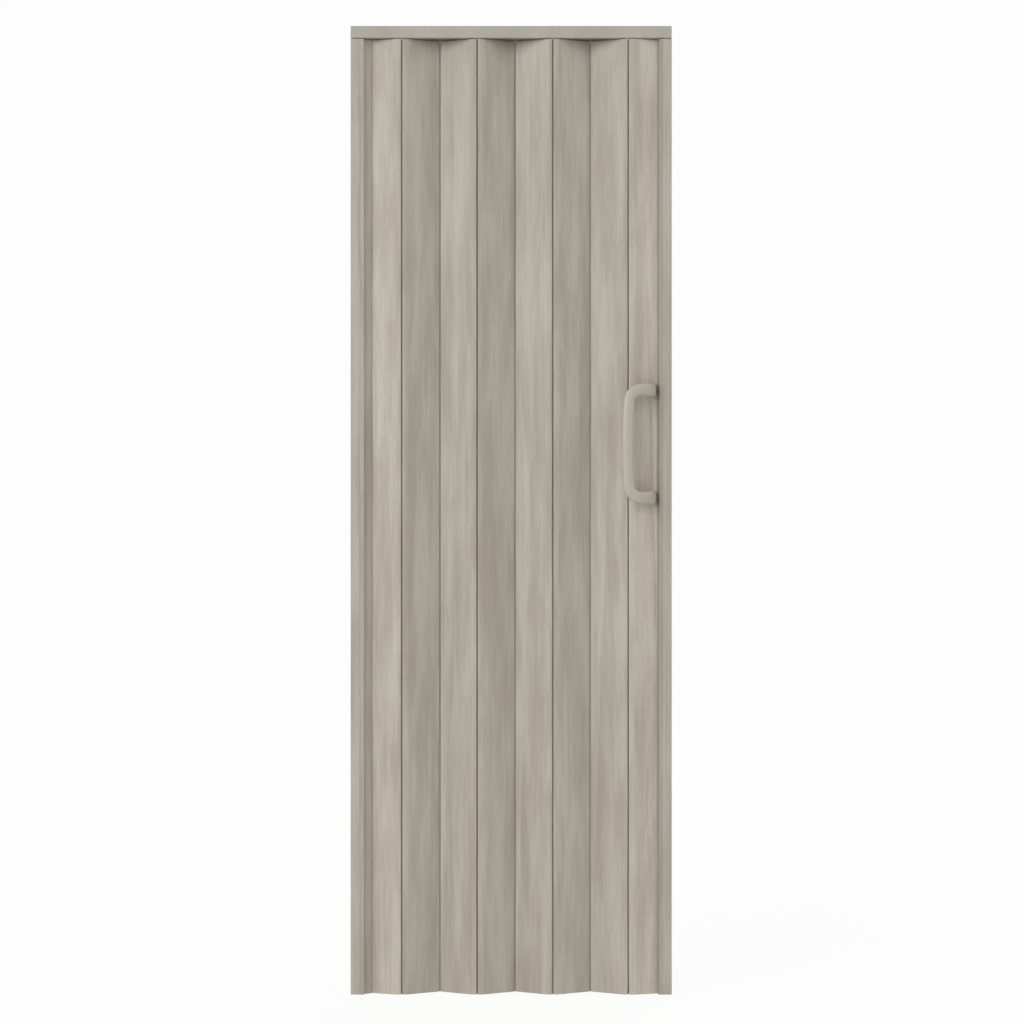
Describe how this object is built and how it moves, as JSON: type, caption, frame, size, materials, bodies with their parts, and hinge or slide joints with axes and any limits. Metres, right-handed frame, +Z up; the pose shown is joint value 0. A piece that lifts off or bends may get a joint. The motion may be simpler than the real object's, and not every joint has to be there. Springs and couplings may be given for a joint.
{
  "type": "folding door",
  "caption": "Accordion folding door: hollow slats joined by soft hinge strips hang from a track between a wall jamb and a lead post with a bow handle on each face.",
  "frame": {"origin": "on the header track's top face, at mid length, over the line the gliders run on", "axes": "+Z up, +X along the track from the wall jamb towards the lead post's closing side, -Y towards the viewer; the near hinge axes lie on y = 0"},
  "size_m": [0.6696, 0.1063, 2.02],
  "materials": {
    "wood_foil": "satin wood-look foil on hollow plastic",
    "header_plastic": "satin",
    "hinge_plastic": "matte, soft",
    "glider_nylon": "smooth nylon",
    "screw_steel": "zinc plated",
    "handle_plastic": "satin"
  },
  "bodies": {
    "frame": {"header_track": "header_plastic", "track_screw_1": "screw_steel", "track_screw_2": "screw_steel", "track_screw_3": "screw_steel", "track_screw_4": "screw_steel", "jamb_base": "wood_foil", "jamb_cover": "wood_foil", "jamb_screw_1": "screw_steel", "jamb_screw_2": "screw_steel", "jamb_screw_3": "screw_steel", "jamb_screw_4": "screw_steel", "slat_1": "wood_foil", "hinge_strip_1_left": "hinge_plastic", "glider_1": "glider_nylon"},
    "leaf_2": {"slat_2": "wood_foil", "hinge_strip_1_right": "hinge_plastic", "hinge_strip_2_left": "hinge_plastic"},
    "leaf_3": {"slat_3": "wood_foil", "hinge_strip_2_right": "hinge_plastic", "hinge_strip_3_left": "hinge_plastic", "glider_2": "glider_nylon"},
    "leaf_4": {"slat_4": "wood_foil", "hinge_strip_3_right": "hinge_plastic", "hinge_strip_4_left": "hinge_plastic"},
    "leaf_5": {"slat_5": "wood_foil", "hinge_strip_4_right": "hinge_plastic", "hinge_strip_5_left": "hinge_plastic", "glider_3": "glider_nylon"},
    "leaf_6": {"slat_6": "wood_foil", "hinge_strip_5_right": "hinge_plastic", "hinge_strip_6_left": "hinge_plastic"},
    "leaf_7": {"slat_7": "wood_foil", "hinge_strip_6_right": "hinge_plastic", "hinge_strip_7_left": "hinge_plastic", "glider_4": "glider_nylon"},
    "lead": {"slat_8": "wood_foil", "hinge_strip_7_right": "hinge_plastic", "lead_post": "wood_foil", "lead_cover": "wood_foil", "lead_glider": "glider_nylon", "handle_front": "handle_plastic", "handle_back": "handle_plastic", "handle_screw_1": "screw_steel", "handle_screw_2": "screw_steel"}
  },
  "joints": [
    {"name": "fold_1", "type": "hinge", "parent": "frame", "child": "leaf_2", "pos_m": [-0.22837, 0, -1.02], "axis": [0, 0, 1], "range_deg": [0, 64]},
    {"name": "fold_2", "type": "hinge", "parent": "leaf_2", "child": "leaf_3", "pos_m": [-0.14953, 0.026, -1.02], "axis": [0, 0, -1], "range_deg": [0, 128]},
    {"name": "fold_3", "type": "hinge", "parent": "leaf_3", "child": "leaf_4", "pos_m": [-0.07069, 0, -1.02], "axis": [0, 0, 1], "range_deg": [0, 128]},
    {"name": "fold_4", "type": "hinge", "parent": "leaf_4", "child": "leaf_5", "pos_m": [0.00815, 0.026, -1.02], "axis": [0, 0, -1], "range_deg": [0, 128]},
    {"name": "fold_5", "type": "hinge", "parent": "leaf_5", "child": "leaf_6", "pos_m": [0.08699, 0, -1.02], "axis": [0, 0, 1], "range_deg": [0, 128]},
    {"name": "fold_6", "type": "hinge", "parent": "leaf_6", "child": "leaf_7", "pos_m": [0.16583, 0.026, -1.02], "axis": [0, 0, -1], "range_deg": [0, 128]},
    {"name": "fold_7", "type": "hinge", "parent": "leaf_7", "child": "lead", "pos_m": [0.24467, 0, -1.02], "axis": [0, 0, 1], "range_deg": [0, 64]}
  ],
  "couplings": [
    {"joint": "fold_2", "follows": "fold_1", "ratio": 2},
    {"joint": "fold_3", "follows": "fold_1", "ratio": 2},
    {"joint": "fold_4", "follows": "fold_1", "ratio": 2},
    {"joint": "fold_5", "follows": "fold_1", "ratio": 2},
    {"joint": "fold_6", "follows": "fold_1", "ratio": 2},
    {"joint": "fold_7", "follows": "fold_1", "ratio": 1}
  ]
}
